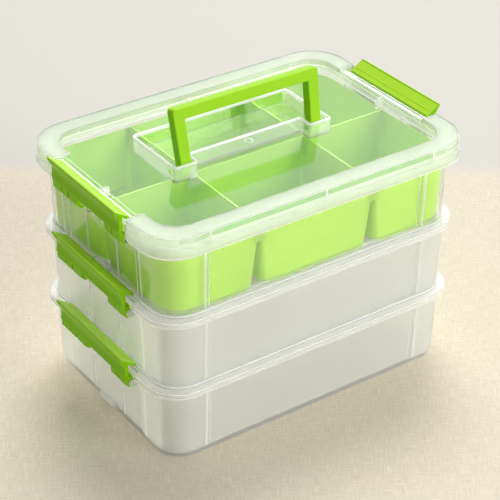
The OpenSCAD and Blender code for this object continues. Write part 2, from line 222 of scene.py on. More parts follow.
clearSet = {
    "tierClear": {"tint": (0.97, 0.985, 0.945), "drift": (0.95, 0.97, 0.92), "through": 0.94,
                  "rough": (0.04, 0.10), "shade": 0.10},
    "tierMilky": {"tint": (0.965, 0.985, 0.90), "drift": (0.95, 0.97, 0.885), "through": 0.58,
                  "rough": (0.30, 0.40), "shade": 0.16, "paintedGlow": 0.02},
    # milky end walls: a stronger painted glow brightens these shaded sides
    "tierEndPaintedGlow": {"tint": (0.98, 0.985, 0.89), "drift": (0.965, 0.97, 0.875), "through": 0.55,
                "rough": (0.30, 0.40), "shade": 0.16, "paintedGlow": 0.075},
    "rimMilky": {"tint": (0.965, 0.98, 0.93), "drift": (0.95, 0.965, 0.91), "through": 0.62,
                 "rough": (0.14, 0.22), "shade": 0.14, "paintedGlow": 0.02},
    # whiter edges, rim tops and ribs: painted highlight with a painted glow
    "edgePaintedLight": {"tint": (0.95, 0.96, 0.925), "drift": (0.935, 0.95, 0.905), "through": 0.35,
                  "rough": (0.18, 0.3), "shade": 0.2, "paintedGlow": 0.05},
    # bright strips, beads and webs: painted highlight and glow, standing in for light in the plastic's edges
    "edgePaintedGlow": {"tint": (0.95, 0.955, 0.935), "drift": (0.935, 0.945, 0.915), "through": 0.10,
                   "rough": (0.2, 0.35), "shade": 0.4, "paintedGlow": 0.12},
    # bevelled lid edges and end tabs: clear, with a painted glow on the edges
    "edgeClear": {"tint": (0.95, 0.965, 0.93), "drift": (0.935, 0.95, 0.91), "through": 0.90,
                  "rough": (0.2, 0.3), "shade": 0.15, "paintedGlow": 0.05},
    "lidPanel": {"tint": (0.98, 0.997, 0.96), "drift": (0.97, 0.992, 0.95), "through": 0.96,
                 "rough": (0.0, 0.004), "shade": 0.05, "height": 0.0005, "scatter": 0.0},
    "lidBorder": {"tint": (0.675, 0.725, 0.62), "drift": (0.65, 0.70, 0.595), "through": 0.58,
                  "rough": (0.18, 0.28), "shade": 0.12},
    "lidSkirt": {"tint": (0.79, 0.875, 0.735), "drift": (0.765, 0.855, 0.71), "through": 0.58,
                 "rough": (0.18, 0.28), "shade": 0.12, "paintedGlow": 0.015},
    # painted shade: a green tint standing in for the shaded hollow and the tray seen through it
    "lidGrooveShade": {"tint": (0.56, 0.79, 0.48), "drift": (0.52, 0.76, 0.44), "through": 0.70,
                  "rough": (0.08, 0.14), "shade": 0.12},
    "wellMilky": {"tint": (0.96, 0.97, 0.95), "drift": (0.94, 0.955, 0.93), "through": 0.74,
                  "rough": (0.06, 0.12), "shade": 0.12, "paintedGlow": 0.02},
    # painted shade: a darker green tint on the well's back wall
    "wellBackShade": {"tint": (0.80, 0.885, 0.71), "drift": (0.78, 0.87, 0.69), "through": 0.95,
                  "rough": (0.005, 0.02), "shade": 0.08, "height": 0.001, "scatter": 0.0},
}
solidSet = {
    "handleGreen": {"tint": lin(180, 240, 42), "drift": lin(172, 233, 32), "rough": (0.24, 0.36),
                    "shine": 0.2},
    # lit and shaded copies of one green: painted light on flat faces, painted shade on steep ones
    "latchLitGreen": {"tint": lin(190, 243, 50), "drift": lin(182, 236, 40), "rough": (0.2, 0.3),
                 "shine": 0.3},
    "shadedSideGreen": {"tint": lin(146, 214, 12), "drift": lin(136, 204, 8), "rough": (0.24, 0.36),
                  "shine": 0.07},
    "trayGreen": {"tint": lin(174, 221, 77), "drift": lin(168, 215, 69), "rough": (0.34, 0.48),
                  "shine": 0.25, "scatter": 0.3},
}
# the groove's painted shade fades into a paler tint towards the ends
grooveFade = {"start": 80.0, "stop": 112.0, "tint": (0.78, 0.865, 0.72)}

finishes = {name: clearPlastic(name, **values) for name, values in clearSet.items()}
for name, values in solidSet.items():
    finishes[name] = solidPlastic(name, **values)
fadeOut(finishes["lidGrooveShade"], **grooveFade)
print("materials made")


meshSet = {
    "weld": 0.002,      # closer points than this become one
    "flat": 0.6,        # faces that differ by less than this many degrees become one
    "sharp": 30,        # edges above this angle are bevelled
    "weight": 100,      # how much the large faces decide the shading
    "upright": 0.5,     # an upright face looks up or down by less than this
}


def mergedCopy(node):  # a welded copy of a CAD node, with its flat faces joined up
    bm = bmesh.new()
    bm.from_mesh(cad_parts[node].data)
    bmesh.ops.remove_doubles(bm, verts=bm.verts, dist=meshSet["weld"] * mm)
    bmesh.ops.dissolve_limit(bm, angle_limit=math.radians(meshSet["flat"]), use_dissolve_boundaries=False,
                             verts=bm.verts, edges=bm.edges)
    return bm


def addPiece(name, bm, body, materials, bevel, segments=2, sharp=meshSet["sharp"], stands=(),
             edgeFinish=-1):
    bmesh.ops.recalc_face_normals(bm, faces=bm.faces)
    mesh = bpy.data.meshes.new(name)
    bm.to_mesh(mesh)
    bm.free()
    piece = bpy.data.objects.new(name, mesh)
    bpy.context.scene.collection.objects.link(piece)
    for material in materials:
        mesh.materials.append(finishes[material])
    for face in mesh.polygons:
        face.use_smooth = True
    edges = piece.modifiers.new("edges", "BEVEL")
    edges.width = bevel * mm
    edges.segments = segments
    edges.limit_method = "ANGLE"
    edges.angle_limit = math.radians(sharp)
    edges.material = edgeFinish
    edges.miter_outer = "MITER_ARC"
    shading = piece.modifiers.new("shading", "WEIGHTED_NORMAL")
    shading.mode = "FACE_AREA"
    shading.weight = meshSet["weight"]
    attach(piece, body)
    if stands:
        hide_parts(*stands)


def paintFaces(bm, materials, choose):
    # choose says which of the piece's materials a face takes
    for face in bm.faces:
        face.material_index = materials.index(choose(face))


def addBox(bm, size, place):
    made = bmesh.ops.create_cube(bm, size=mm)["verts"]
    bmesh.ops.scale(bm, vec=size, verts=made)
    bmesh.ops.translate(bm, vec=[value * mm for value in place], verts=made)
    return made


def addStrip(bm, profile, start, end):
    # a closed profile in x and z, drawn along y
    verts = [bm.verts.new((x * mm, start * mm, z * mm)) for x, z in profile]
    face = bm.faces.new(verts)
    made = bmesh.ops.extrude_face_region(bm, geom=[face])["geom"]
    moved = [g for g in made if isinstance(g, bmesh.types.BMVert)]
    bmesh.ops.translate(bm, vec=(0, (end - start) * mm, 0), verts=moved)
    return verts + moved


def joinMesh(bm, other):
    mesh = bpy.data.meshes.new("joined")
    other.to_mesh(mesh)
    other.free()
    bm.from_mesh(mesh)
    bpy.data.meshes.remove(mesh)


def cutAt(bm, *levels, where=None):
    # new edges round a shape at these heights, so that a strip can take its own finish
    for level in levels:
        faces = [face for face in bm.faces if where is None or where(face.calc_center_median() / mm)]
        edges = dict.fromkeys(edge for face in faces for edge in face.edges)
        verts = dict.fromkeys(vert for face in faces for vert in face.verts)
        bmesh.ops.bisect_plane(bm, geom=[*verts, *edges, *faces],
                               plane_co=(0, 0, level * mm), plane_no=(0, 0, 1))


def leanIn(point, depth, half, radius):
    # moves a point on a rounded wall towards the middle of its box
    core = Vector((max(-half.x + radius, min(half.x - radius, point.x)),
                   max(-half.y + radius, min(half.y - radius, point.y)), point.z))
    out = point - core
    return point - out.normalized() * depth if out.length > 1e-6 else point


def isUpright(face):
    return abs(face.normal.z) < meshSet["upright"]


def inStrips(z, strips):
    return any(low < z < high for low, high in strips)


tierSet = {
    "pitch": 57.6,      # from one tier's base to the next one's
    "half": (122.7, 84.35),   # to the walls' outer faces
    "draft": 1.4,       # each wall leans in by this much at the foot
    "foot": 4.8,
    "footSlack": 0.01,
    "band": 54.9,       # the draft ends at the band under the rim
    "bandTop": 0.4,     # the rim's finish starts this far under the band's foot
    "proud": 122.75,    # what stands out past this, such as hinge ears, keeps its place
    "cornerRadius": 22,
    "edge": 0.5,
    "ribY": 20,
    "ribHalf": 0.75,
    "ribFrom": 118.5,   # ribs show outside of this x, from ribLow up
    "ribLow": 8,
    "endFrom": 119,     # end walls take a finish with a stronger painted glow outside of this x
    "lines": ((-0.01, 0.7), (54.9, 55.7), (59.1, 59.9), (61.6, 62.41)),   # heights of the strips given the painted-glow finish
    "frontBeads": ((88.1, 1.3, 0.7), (92.0, 0.0, 1.8)),   # place, depth and width of each post's ridges
    "endBeads": ((44.8, 1.3, 1.0), (51.2, 0.0, 1.2)),
    "beadThick": 0.5,
    "beadPast": (0.6, 0.2),   # how far above the foot and the band the ridges start and end
    "beadEdge": 0.2,
    "beadSharp": 50,
    # the finishes these choose carry painted light: a pale glow on the foot's ends, a lit look on the rim's
    # top and a stronger glow on the end walls
    "footTurn": 0.8,    # how squarely a face looks to its side to take the finish of the foot's ends,
    "rimTurn": 0.7,     # of the rim's top,
    "endTurn": 0.9,     # or of the end walls
}
tierNames = ("bottom_box", "middle_box", "top_box")


def tierLean(z):
    return tierSet["draft"] * (tierSet["band"] - z) / (tierSet["band"] - tierSet["foot"]) * mm


def tierFinish(face, node, bottom, wall):
    middle = face.calc_center_median() / mm
    z = middle.z - bottom
    clearFoot = node == "top_box" and z < tierSet["foot"]
    onRib = abs(abs(middle.y) - tierSet["ribY"]) < tierSet["ribHalf"] and abs(middle.x) > tierSet["ribFrom"]
    # the strips take the bright painted-glow finish
    if isUpright(face) and inStrips(z, tierSet["lines"]):
        return "edgePaintedGlow"
    if clearFoot and abs(face.normal.x) > tierSet["footTurn"]:
        return "edgePaintedLight"   # a foot made pale with painted glow at the ends, behind the latches, where it lies in shade
    # up-facing faces of the rim and of the top tier's foot take the whiter painted-light finish, as if lit
    # from above
    if clearFoot or z > tierSet["band"] - tierSet["bandTop"]:
        return "edgePaintedLight" if face.normal.z > tierSet["rimTurn"] else "rimMilky"
    # the end ribs take the whiter painted-light finish
    if onRib and z > tierSet["ribLow"]:
        return "edgePaintedLight"
    # the milky end walls take a stronger painted glow, standing in for light reaching them through the
    # plastic
    atEnd = abs(face.normal.x) > tierSet["endTurn"] and abs(middle.x) > tierSet["endFrom"]
    if wall == "tierMilky" and atEnd:
        return "tierEndPaintedGlow"
    return wall


def buildTier(node, bottom):
    bm = mergedCopy(node)
    half = Vector((*tierSet["half"], 0)) * mm
    for vert in bm.verts:
        z = vert.co.z / mm - bottom
        proud = abs(vert.co.x) > tierSet["proud"] * mm
        if tierSet["foot"] - tierSet["footSlack"] < z < tierSet["band"] and not proud:
            vert.co = leanIn(vert.co, tierLean(z), half, tierSet["cornerRadius"] * mm)
    for low, high in tierSet["lines"]:
        cutAt(bm, bottom + low, bottom + high)
    wall = "tierClear" if node == "top_box" else "tierMilky"
    materials = [wall, "rimMilky", "edgePaintedLight", "edgePaintedGlow", "tierEndPaintedGlow"]
    paintFaces(bm, materials, lambda face: tierFinish(face, node, bottom, wall))
    # bevelled edges take the whiter painted-light finish
    addPiece(node.replace("_box", "Tier"), bm, node, materials, bevel=tierSet["edge"],
             stands=(node,), edgeFinish=materials.index("edgePaintedLight"))


def buildPostBeads(node, bottom):
    # the two fine ridges down each side of every corner post, made bright with painted glow
    bm = bmesh.new()
    low, high = tierSet["foot"] + tierSet["beadPast"][0], tierSet["band"] + tierSet["beadPast"][1]
    halfX, halfY = tierSet["half"]
    thick = tierSet["beadThick"]
    corners = [(side, front) for side in (-1, 1) for front in (-1, 1)]
    beads = []
    for x, sunk, wide in tierSet["frontBeads"]:
        beads += [(side * x, front * (halfY - sunk), 1, (wide, thick)) for side, front in corners]
    for y, sunk, wide in tierSet["endBeads"]:
        beads += [(side * (halfX - sunk), front * y, 0, (thick, wide)) for side, front in corners]
    for x, y, axis, size in beads:
        for vert in addBox(bm, (*size, high - low), (x, y, bottom + (low + high) / 2)):
            vert.co[axis] -= math.copysign(tierLean(vert.co.z / mm - bottom), (x, y)[axis])
    addPiece(node.replace("_box", "Beads"), bm, node, ["edgePaintedGlow"],
             bevel=tierSet["beadEdge"], sharp=tierSet["beadSharp"])


for count, node in enumerate(tierNames):
    buildTier(node, count * tierSet["pitch"])
    buildPostBeads(node, count * tierSet["pitch"])
print("tiers made")


lidSet = {
    "panelTop": 181.0,
    "panelHalf": (115.9, 76.9),
    "panelMargin": 0.2,     # the panel's finish ends this far outside of it
    "panelSlack": 0.1,      # and this far above it
    "ridgeInner": 1.2,      # the ridge's inner side is within this
    "edge": 0.65,
    "grooveLow": 179.4,
    "cutHalf": 44.0,        # half the length of the gaps for the upper latches
    "lines": ((168.39, 169.3), (183.4, 184.21)),   # strips given the painted-glow finish
    "step": 176.5,          # the skirt leans out from here down to its lower edge
    "skirtLow": 168.4,
    "skirtHalf": (131.2, 91.75),
    "skirtFrom": (129.8, 90.4),
    "skirtRadius": 29.4,
    "draft": 0.8,
    "wellHalf": 67,
    "wellY": (-9, 50.5),
    "wellEnd": 63.6,        # the well's end walls, front pockets and back wall start here
    "wellFront": -4,
    "wellBack": 40,
    "footLine": 170.6,      # just over the well's floor
    "cornerTurn": 0.45,     # the groove's painted shade ends where the corners have turned this far
}
lidFinishes = ["lidPanel", "lidBorder", "wellMilky", "lidGrooveShade", "wellBackShade", "edgeClear", "edgePaintedGlow",
               "lidSkirt"]


def inWell(point):
    low, high = lidSet["wellY"]
    return abs(point.x) < lidSet["wellHalf"] and low < point.y < high


def overPanel(point, margin):
    halfX, halfY = lidSet["panelHalf"]
    return abs(point.x) < halfX + margin and abs(point.y) < halfY + margin


def lidFinish(face):
    middle = face.calc_center_median() / mm
    upright = isUpright(face)
    inPanel = overPanel(middle, lidSet["panelMargin"])
    inPanel = inPanel and middle.z < lidSet["panelTop"] + lidSet["panelSlack"]
    endWall = abs(middle.x) > lidSet["wellEnd"] or middle.y < lidSet["wellFront"]
    innerSide = overPanel(middle, lidSet["ridgeInner"])
    atEnd = abs(middle.x) > lidSet["panelHalf"][0] + lidSet["ridgeInner"]
    if upright and atEnd and abs(middle.y) < lidSet["cutHalf"]:
        return "lidPanel"
    if not inPanel and not upright:
        return "lidBorder"
    if not inPanel:
        atCorner = abs(face.normal.x) > lidSet["cornerTurn"] and not innerSide
        # the lid's strips take the bright painted-glow finish
        if inStrips(middle.z, lidSet["lines"]):
            return "edgePaintedGlow"
        if middle.z < lidSet["grooveLow"] or atCorner:
            return "lidSkirt"
        # the outer upper border takes the groove's painted shade
        return "lidBorder" if innerSide else "lidGrooveShade"
    if inWell(middle) and upright and (endWall or middle.z < lidSet["footLine"]):
        return "wellMilky"
    # the well's back wall takes the darker painted-shade tint
    if inWell(middle) and upright and middle.y > lidSet["wellBack"]:
        return "wellBackShade"
    return "lidPanel"


def buildLid():
    bm = mergedCopy("lid")
    cutAt(bm, lidSet["footLine"], where=inWell)
    for level in (lidSet["grooveLow"], *lidSet["lines"][0], *lidSet["lines"][1]):
        cutAt(bm, level, where=lambda point: not overPanel(point, lidSet["panelMargin"]))
    skirt = Vector((*lidSet["skirtHalf"], 0)) * mm
    fromX, fromY = lidSet["skirtFrom"]
    for vert in bm.verts:
        outside = abs(vert.co.x) > fromX * mm or abs(vert.co.y) > fromY * mm
        if outside and vert.co.z < lidSet["step"] * mm:
            share = (lidSet["step"] - vert.co.z / mm) / (lidSet["step"] - lidSet["skirtLow"])
            vert.co = leanIn(vert.co, lidSet["draft"] * share * mm, skirt, lidSet["skirtRadius"] * mm)
    paintFaces(bm, lidFinishes, lidFinish)
    addPiece("lidShell", bm, "lid", lidFinishes, bevel=lidSet["edge"], stands=("lid",),
             edgeFinish=lidFinishes.index("edgeClear"))


webSet = {
    "places": (-92, 0, 92),
    "thick": 1.4,
    "y": (78.0, 90.4),
    "z": (177.2, 183.8),
    "foot": 1.6,          # radius of the lower edges
    "edge": 0.15,
}


def spanX(edge):
    return abs(edge.verts[0].co.x - edge.verts[1].co.x) / mm


def buildWebs():
    # thin webs inside the long sides of the border, made bright with painted glow
    bm = bmesh.new()
    deep, tall = webSet["y"][1] - webSet["y"][0], webSet["z"][1] - webSet["z"][0]
    middleY, middleZ = webSet["y"][0] + deep / 2, webSet["z"][0] + tall / 2
    for x in webSet["places"]:
        for side in (-1, 1):
            made = addBox(bm, (webSet["thick"], deep, tall), (x, side * middleY, middleZ))
            edges = dict.fromkeys(edge for vert in made for edge in vert.link_edges)
            lower = [edge for edge in edges if spanX(edge) > webSet["thick"] / 2
                     and all(vert.co.z < middleZ * mm for vert in edge.verts)]
            bmesh.ops.bevel(bm, geom=lower, affect="EDGES", offset=webSet["foot"] * mm, segments=3,
                            profile=0.5, material=-1)
    addPiece("lidWebs", bm, "lid", ["edgePaintedGlow"], bevel=webSet["edge"], segments=1)


beadSet = {
    "out": 1.45,          # the bead's outer side, out from the well's edge
    "wide": 1.75,
    "z": (179.5, 182.0),
    "halfLength": 65,
    "pocketFrom": 48.5,   # the front pockets run from here to the well's ends
    "frontY": -6.5,
    "stepY": 6,
    "backY": 48.5,
    "radii": (2.6, 0.8, 4.2),   # of the pockets, the steps between them and the back
    "steps": 6,
    "edge": 0.35,
    "sharp": 50,
}


def buildWellBead():
    # the raised line round the handle well and its two front pockets, made white with painted glow
    bm = bmesh.new()
    out, (low, high) = beadSet["out"], beadSet["z"]
    long, pocket = beadSet["halfLength"] + out, beadSet["pocketFrom"] - out
    front, step, back = beadSet["frontY"] - out, beadSet["stepY"] - out, beadSet["backY"] + out
    small, sharp, wide = beadSet["radii"]
    outline = [(-long, front, small), (-pocket, front, small), (-pocket, step, sharp), (pocket, step, sharp),
               (pocket, front, small), (long, front, small), (long, back, wide), (-long, back, wide)]
    corners = [bm.verts.new((x * mm, y * mm, low * mm)) for x, y, radius in outline]
    bm.faces.new(corners)
    for vert, (x, y, radius) in zip(corners, outline):
        bmesh.ops.bevel(bm, geom=[vert], affect="VERTICES", offset=radius * mm, segments=beadSet["steps"],
                        profile=0.5, material=-1)
    middle = bm.faces[:][0]
    bmesh.ops.inset_region(bm, faces=[middle], thickness=beadSet["wide"] * mm, use_even_offset=True,
                           use_boundary=True)
    bmesh.ops.delete(bm, geom=[middle], context="FACES_ONLY")
    bmesh.ops.solidify(bm, geom=bm.faces[:], thickness=(high - low) * mm)
    lowest = min(vert.co.z for vert in bm.verts)
    bmesh.ops.translate(bm, vec=(0, 0, low * mm - lowest), verts=bm.verts)
    addPiece("wellBead", bm, "lid", ["edgePaintedGlow"], bevel=beadSet["edge"],
             sharp=beadSet["sharp"])


ringSet = {
    "radius": 3.2,
    "place": (-1, -1, 180.9),
    "wide": 0.7,
    "high": 0.6,
    "steps": 28,
    "edge": 0.2,
    "sharp": 50,
}


def buildGateRing():
    # a plain moulding mark in front of the well, made bright with painted glow
    bm = bmesh.new()
    bmesh.ops.create_circle(bm, cap_ends=True, segments=ringSet["steps"], radius=ringSet["radius"] * mm)
    bmesh.ops.translate(bm, vec=[value * mm for value in ringSet["place"]], verts=bm.verts)
    bmesh.ops.inset_region(bm, faces=bm.faces[:], thickness=ringSet["wide"] * mm, use_boundary=True)
    hole = max(bm.faces, key=lambda face: len(face.verts))
    bmesh.ops.delete(bm, geom=[hole], context="FACES_ONLY")
    bmesh.ops.solidify(bm, geom=bm.faces[:], thickness=ringSet["high"] * mm)
    addPiece("gateRing", bm, "lid", ["edgePaintedGlow"], bevel=ringSet["edge"],
             sharp=ringSet["sharp"])


tabSet = {"x": 117.2, "z": 174.6, "size": (8.5, 1.2, 7.6), "edge": 0.25}


def buildEndTabs():
    # a small upright tab under the lid at each end
    bm = bmesh.new()
    for side in (-1, 1):
        addBox(bm, tabSet["size"], (side * tabSet["x"], 0, tabSet["z"]))
    addPiece("endTabs", bm, "lid", ["edgeClear"], bevel=tabSet["edge"])


buildLid()
buildWebs()
buildWellBead()
buildGateRing()
buildEndTabs()
print("lid made")


handleSet = {
    "edge": 1.5,
    "steps": 4,
    "splay": 1.6,
    "low": 175.0,
    "high": 219.7,
    "sideTurn": 0.7,    # faces that look sideways by more than this take the darker painted-shade green
}


def buildHandle():
    # the legs spread a little towards the grip
    bm = mergedCopy("carry_handle")
    for vert in bm.verts:
        share = (vert.co.z / mm - handleSet["low"]) / (handleSet["high"] - handleSet["low"])
        vert.co.x += math.copysign(max(0.0, share) * handleSet["splay"] * mm, vert.co.x)
    materials = ["handleGreen", "shadedSideGreen"]
    # sideways faces take the painted-shade green
    paintFaces(bm, materials, lambda face: materials[int(abs(face.normal.x) > handleSet["sideTurn"])])
    addPiece("carryHandle", bm, "carry_handle", materials, bevel=handleSet["edge"],
             segments=handleSet["steps"], stands=("carry_handle",), edgeFinish=0)


buildHandle()
print("handle made")


traySet = {
    "half": (119.3, 80.95),
    "cornerRadius": 18.9,
    "draft": 1.8,         # lean of the outer walls over the tray's height
    "top": 168.3,
    "low": 118.6,
    "dividerX": 47.7,
    "lip": 0.5,           # half the thickness of a divider's top edge
    "flare": 3.4,         # how far the divider's two walls part at the foot
    "shares": (0.12, 0.28, 0.55, 0.8),   # levels of a cup's wall, as shares of its height
    "cupCorner": (1.6, 4.6),
    "cornerSteps": 6,
    "outerShare": 0.8,    # corners outside of this share of the half sizes are the tray's own
    "floorCurve": 3.2,
    "floorSteps": 4,
    "wall": 0.62,
    "edge": 0.3,
    "sharp": 40,
    "bridgeLow": 156.0,   # under this the cups stand apart
    "bridgeHalf": 4.4,
    "bridgeTop": 0.1,     # the bridges end this far under the rim
    "bridgeFoot": 2.0,    # length of their straight sides under bridgeLow
    "bridgeArch": 2.7,
    "archSteps": 8,
    "bridgeThick": 0.5,
    "bridgeInset": 0.06,
}


def roundPlate(bm, corners, z):
    # a flat face with its own radius at each corner; corners run round from low x, low y
    before = set(bm.faces)
    made = bmesh.ops.create_grid(bm, x_segments=1, y_segments=1, size=1)["verts"]
    placed = []
    for x, y, radius in corners:
        signX = -1 if x == min(c[0] for c in corners) else 1
        signY = -1 if y == min(c[1] for c in corners) else 1
        placed.append((next(v for v in made if v.co.x * signX > 0 and v.co.y * signY > 0), x, y, radius))
    for vert, x, y, radius in placed:
        vert.co = (x * mm, y * mm, z * mm)
    for vert, x, y, radius in placed:
        bmesh.ops.bevel(bm, geom=[vert], affect="VERTICES", offset=radius * mm,
                        segments=traySet["cornerSteps"], profile=0.5, material=-1, clamp_overlap=False)
    return next(face for face in bm.faces if face not in before)


def trayLevels():
    # height, lean of outer wall, lean of divider wall, corner radius of the cup's inside
    top, low, curve = traySet["top"], traySet["low"] + traySet["wall"], traySet["floorCurve"]
    lip, draft, flare = traySet["lip"], traySet["draft"], traySet["flare"]
    small, wide = traySet["cupCorner"]
    levels = [(top, 0.0, 0.0, small), (top, lip, lip, small)]
    for share in traySet["shares"]:
        levels.append((top - share * (top - low - curve), lip + share * draft, lip + share * flare,
                       small + share * (wide - small)))
    for step in range(traySet["floorSteps"] + 1):
        turn = math.radians(90 * step / traySet["floorSteps"])
        inward = curve * (1 - math.cos(turn))
        levels.append((low + curve * (1 - math.sin(turn)), lip + draft + inward, lip + flare + inward, wide))
    return levels


def cupFrame(column, row, outer, divider, radius):
    # the four corners of one cup at one level
    halfX, halfY = traySet["half"]
    split = traySet["dividerX"]
    lowX = (-halfX + outer, -split + divider, split + divider)[column]
    highX = (-split - divider, split - divider, halfX - outer)[column]
    lowY = (-halfY + outer, divider)[row]
    highY = (-divider, halfY - outer)[row]
    corners = []
    for x, y in ((lowX, lowY), (highX, lowY), (highX, highY), (lowX, highY)):
        trayCorner = abs(x) > traySet["outerShare"] * halfX and abs(y) > traySet["outerShare"] * halfY
        corners.append((x, y, max(radius, traySet["cornerRadius"] - outer) if trayCorner else radius))
    return corners


def addCup(bm, column, row):
    cup = bmesh.new()
    plates = [roundPlate(cup, cupFrame(column, row, outer, divider, radius), z)
              for z, outer, divider, radius in trayLevels()]
    loops = [list(face.edges) for face in plates]
    bmesh.ops.delete(cup, geom=plates[:-1], context="FACES_ONLY")
    for upper, lower in zip(loops[:-1], loops[1:]):
        bmesh.ops.bridge_loops(cup, edges=upper + lower)
    bmesh.ops.recalc_face_normals(cup, faces=cup.faces)
    if sum(face.normal.z * face.calc_area() for face in cup.faces) < 0:
        bmesh.ops.reverse_faces(cup, faces=cup.faces)
    bmesh.ops.solidify(cup, geom=cup.faces[:], thickness=traySet["wall"] * mm)
    joinMesh(bm, cup)


def addBridges(bm):
    # the flush strips that join the cups at the tray's outer walls, with an arched lower edge
    halfX, halfY = (half - traySet["bridgeInset"] for half in traySet["half"])
    wide, arch = traySet["bridgeHalf"], traySet["bridgeArch"]
    foot, top = traySet["bridgeLow"] - traySet["bridgeFoot"], traySet["top"] - traySet["bridgeTop"]
    archZ = traySet["bridgeLow"] - arch
    quarterTurn = Matrix.Rotation(math.radians(90), 3, "Z")
    lean = traySet["draft"] / (traySet["top"] - traySet["low"])
    outline = [(-wide, foot), (-wide, top), (wide, top), (wide, foot)]
    outline += [(arch * math.cos(a), archZ + arch * math.sin(a))
                for a in (math.pi * k / traySet["archSteps"] for k in range(traySet["archSteps"] + 1))]
    places = [(x, side * halfY, 1) for x in (-traySet["dividerX"], traySet["dividerX"]) for side in (-1, 1)]
    places += [(side * halfX, 0, 0) for side in (-1, 1)]
    for x, y, axis in places:
        verts = addStrip(bm, outline, 0.0, traySet["bridgeThick"])
        if axis == 0:
            bmesh.ops.rotate(bm, verts=verts, cent=(0, 0, 0), matrix=quarterTurn)
        outward = math.copysign(1, (x, y)[axis])
        for vert in verts:
            vert.co[axis] = -outward * (abs(vert.co[axis]) + lean * (traySet["top"] * mm - vert.co.z))
            vert.co.x += x * mm
            vert.co.y += y * mm


def buildTray():
    bm = bmesh.new()
    for column in range(3):
        for row in range(2):
            addCup(bm, column, row)
    addBridges(bm)
    addPiece("dividerTray", bm, "divider_tray", ["trayGreen"], bevel=traySet["edge"],
             sharp=traySet["sharp"], stands=("divider_tray",))


buildTray()
print("tray made")


# heights and distances are from the hinge rod, x outwards
latchSet = {
    "rod": (127.6, 51.2),   # the lowest pair's rods, x and z
    "levels": ("lower", "middle", "upper"),
    "edge": 0.5,
    "steps": 3,
    "halfLength": 44.6,
    "upperRise": 1.5,     # the upper latches are taller by this
    "webFace": 4.55,      # the web's outer face
    "webDepth": 0.6,      # how deep the fold is rooted in the web
    "lip": (7.9, 20.7),
    "inner": (-3.8, 13.9),
    "lipThick": 2.0,
    "fold": ((1.0, 4.5), (0.95, 5.2), (0.6, 6.8), (0.3, 8.6), (0.12, 10.4), (0.2, 12.0), (0.6, 13.6),
             (1.3, 15.0), (2.2, 16.2)),   # soft hollow under the lip, out from the web's face, and height
    "foldLip": (0.5, 0.2),
    "beadRadius": 0.75,
    "beadDrop": 0.35,
    "beadSteps": 12,
    "ribs": ((0.36, 0.55), (0.08, 0.5)),   # place as a share of the flange's width, and radius
    "ribFlat": 0.8,
    "ribSteps": 10,
    "leaf": 0.7,          # how far the lower latches' finger edge reaches on inwards
    "leafRoot": 1.0,
    "leafThick": (0.7, 1.2, 1.3),   # at the tip, behind it and at the root
    "leafTip": (0.3, 0.2),
    "lugHalf": 10.6,      # the leaf leaves this room for the catch lug, from the middle out
    "shorter": {"fold": 0.6, "bead": 0.3, "rib": 1.5, "leaf": 0.8},   # at each end
    "tabBars": (-33.0, 32.6),
    "barSize": (0.9, 1.1, 6.6),
    "barOut": 0.15,
    "barZ": 3.4,
    "steep": 0.55,        # faces that look up or down by less than this take the darker painted-shade green
}


def flangeZ(x, rise):
    # the finger flange slopes up from its inner edge to the lip
    (innerX, innerZ), (lipX, lipZ) = latchSet["inner"], latchSet["lip"]
    return innerZ + rise + (lipZ - innerZ) / (lipX - innerX) * (x - innerX)


def circlePoints(x, z, radius, count, flat=1.0):
    turns = (math.tau * step / count for step in range(count))
    return [(x + radius * math.cos(turn), z + radius * math.sin(turn) * flat) for turn in turns]


def latchEnd(name):
    return latchSet["halfLength"] - latchSet["shorter"][name]


def addFold(bm, rise):
    face, root = latchSet["webFace"], latchSet["webFace"] - latchSet["webDepth"]
    lipX, thick = latchSet["lip"][0], latchSet["lipThick"]
    backX, upZ = latchSet["foldLip"]
    profile = [(root, latchSet["fold"][0][1] + rise)]
    profile += [(face + x, z + rise) for x, z in latchSet["fold"]]
    profile += [(lipX - backX, flangeZ(lipX, rise) - thick + upZ), (root, flangeZ(face, rise) - thick)]
    addStrip(bm, profile, -latchEnd("fold"), latchEnd("fold"))


def addBeadAndRibs(bm, rise):
    # rounded lip edge and the two raised ribs on the finger flange
    innerX, (lipX, lipZ), radius = latchSet["inner"][0], latchSet["lip"], latchSet["beadRadius"]
    bead = circlePoints(lipX - radius, lipZ + rise - latchSet["beadDrop"], radius, latchSet["beadSteps"])
    addStrip(bm, bead, -latchEnd("bead"), latchEnd("bead"))
    for share, size in latchSet["ribs"]:
        x = innerX + share * (lipX - innerX)
        rib = circlePoints(x, flangeZ(x, rise), size, latchSet["ribSteps"], latchSet["ribFlat"])
        addStrip(bm, rib, -latchEnd("rib"), latchEnd("rib"))


def addLeaf(bm):
    # the finger edge's thin inner leaf, in two lengths beside the catch lug
    innerX = latchSet["inner"][0]
    root, tip = innerX + latchSet["leafRoot"], innerX - latchSet["leaf"]
    atTip, behindTip, atRoot = latchSet["leafThick"]
    past, behind = latchSet["leafTip"]
    profile = [(root, flangeZ(root, 0)), (tip, flangeZ(tip, 0)), (tip - past, flangeZ(tip, 0) - atTip),
               (tip + behind, flangeZ(tip, 0) - behindTip), (root, flangeZ(root, 0) - atRoot)]
    addStrip(bm, profile, latchSet["lugHalf"], latchEnd("leaf"))
    addStrip(bm, profile, -latchEnd("leaf"), -latchSet["lugHalf"])


def buildLatchTrim(isUpper):
    bm = bmesh.new()
    rise = latchSet["upperRise"] if isUpper else 0.0
    addFold(bm, rise)
    addBeadAndRibs(bm, rise)
    if not isUpper:
        addLeaf(bm)
    for y in latchSet["tabBars"]:
        addBox(bm, latchSet["barSize"], (latchSet["webFace"] + latchSet["barOut"], y, latchSet["barZ"]))
    return bm


